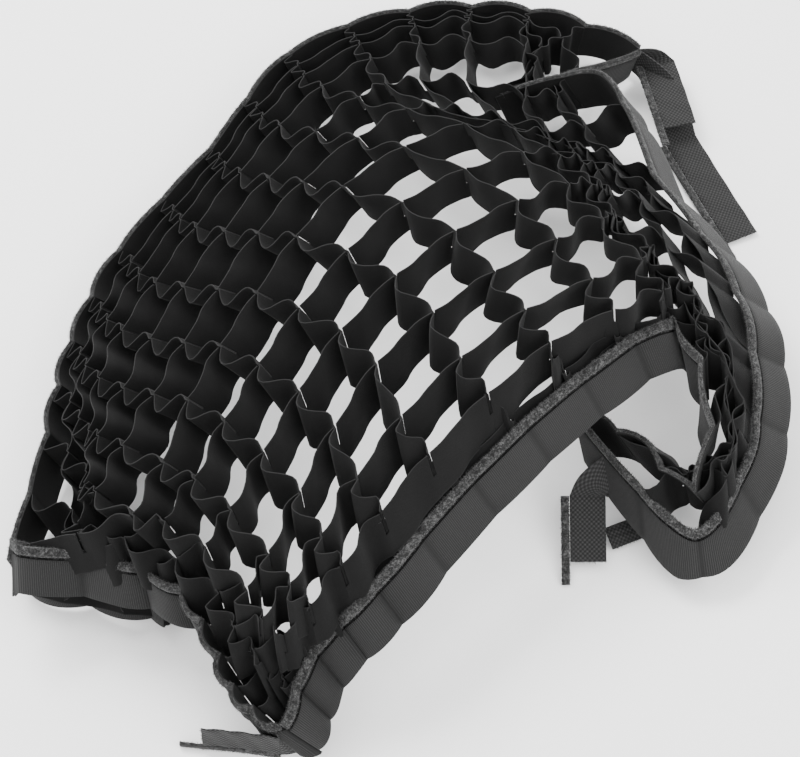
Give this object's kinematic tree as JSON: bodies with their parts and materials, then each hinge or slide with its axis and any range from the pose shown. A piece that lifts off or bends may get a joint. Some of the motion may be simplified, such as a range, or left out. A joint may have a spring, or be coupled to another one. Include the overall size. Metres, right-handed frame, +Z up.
{
  "type": "fabric honeycomb grid",
  "caption": "Soft black fabric egg-crate grid for a rectangular softbox, lying crumpled, with a hook-and-loop border that narrows the light beam.",
  "frame": {"origin": "middle of the base of the crumpled heap's bounding box, on the table", "axes": "+Z up; +X to the right and +Y away as seen from the front"},
  "size_m": [0.5414, 0.6277, 0.1511],
  "materials": {
    "strip_nylon": "matte woven nylon",
    "hem_nylon": "matte woven nylon",
    "hook_tape": "ribbed matte tape",
    "brushed_loop": "fuzzy brushed",
    "webbing": "checker weave webbing"
  },
  "bodies": {
    "grid": {"long_strip_01": "strip_nylon", "long_strip_02": "strip_nylon", "long_strip_03": "strip_nylon", "long_strip_04": "strip_nylon", "long_strip_05": "strip_nylon", "long_strip_06": "strip_nylon", "long_strip_07": "strip_nylon", "long_strip_08": "strip_nylon", "long_strip_09": "strip_nylon", "long_strip_10": "strip_nylon", "long_strip_11": "strip_nylon", "long_strip_12": "strip_nylon", "long_strip_13": "strip_nylon", "cross_strip_01": "strip_nylon", "cross_strip_02": "strip_nylon", "cross_strip_03": "strip_nylon", "cross_strip_04": "strip_nylon", "cross_strip_05": "strip_nylon", "cross_strip_06": "strip_nylon", "cross_strip_07": "strip_nylon", "cross_strip_08": "strip_nylon", "cross_strip_09": "strip_nylon", "cross_strip_10": "strip_nylon", "cross_strip_11": "strip_nylon", "cross_strip_12": "strip_nylon", "cross_strip_13": "strip_nylon", "cross_strip_14": "strip_nylon", "cross_strip_15": "strip_nylon", "hem_far": "hem_nylon", "hem_right": "hem_nylon", "hem_near": "hem_nylon", "hem_left": "hem_nylon", "hook_tape_far": "hook_tape", "hook_tape_right": "hook_tape", "hook_tape_near": "hook_tape", "hook_tape_left": "hook_tape", "brushed_edge_far": "brushed_loop", "brushed_edge_right": "brushed_loop", "brushed_edge_near": "brushed_loop", "brushed_edge_left": "brushed_loop"},
    "end_far_upper": {"webbing_far_upper": "webbing", "webbing_brush_far_upper": "brushed_loop"},
    "end_far_lower": {"webbing_far_lower": "webbing", "webbing_brush_far_lower": "brushed_loop"},
    "end_near": {"webbing_near": "webbing", "webbing_brush_near": "brushed_loop"},
    "end_fold": {"webbing_fold": "webbing", "webbing_brush_fold": "brushed_loop"},
    "end_fold_flap": {"webbing_fold_flap": "webbing"}
  },
  "joints": [
    {"name": "far_upper_stitch_line", "type": "hinge", "parent": "grid", "child": "end_far_upper", "pos_m": [0.19865, 0.26745, 0.01905], "axis": [-0.9776, -0.2106, 0], "range_deg": [0, 45]},
    {"name": "far_lower_stitch_line", "type": "hinge", "parent": "grid", "child": "end_far_lower", "pos_m": [0.21365, 0.20445, 0.00305], "axis": [-0.9138, -0.4061, 0], "range_deg": [0, 45]},
    {"name": "near_stitch_line", "type": "hinge", "parent": "grid", "child": "end_near", "pos_m": [-0.08235, -0.30955, 0.01905], "axis": [0, 0, 1], "range_deg": [0, 45]},
    {"name": "fold_stitch_line", "type": "hinge", "parent": "grid", "child": "end_fold", "pos_m": [0.12765, -0.12255, 0.02405], "axis": [-1, 0, 0], "range_deg": [0, 45]},
    {"name": "fold_flap_stitch_line", "type": "hinge", "parent": "grid", "child": "end_fold_flap", "pos_m": [0.15065, -0.13455, 0.00805], "axis": [-0.9191, -0.3939, 0], "range_deg": [0, 45]}
  ]
}
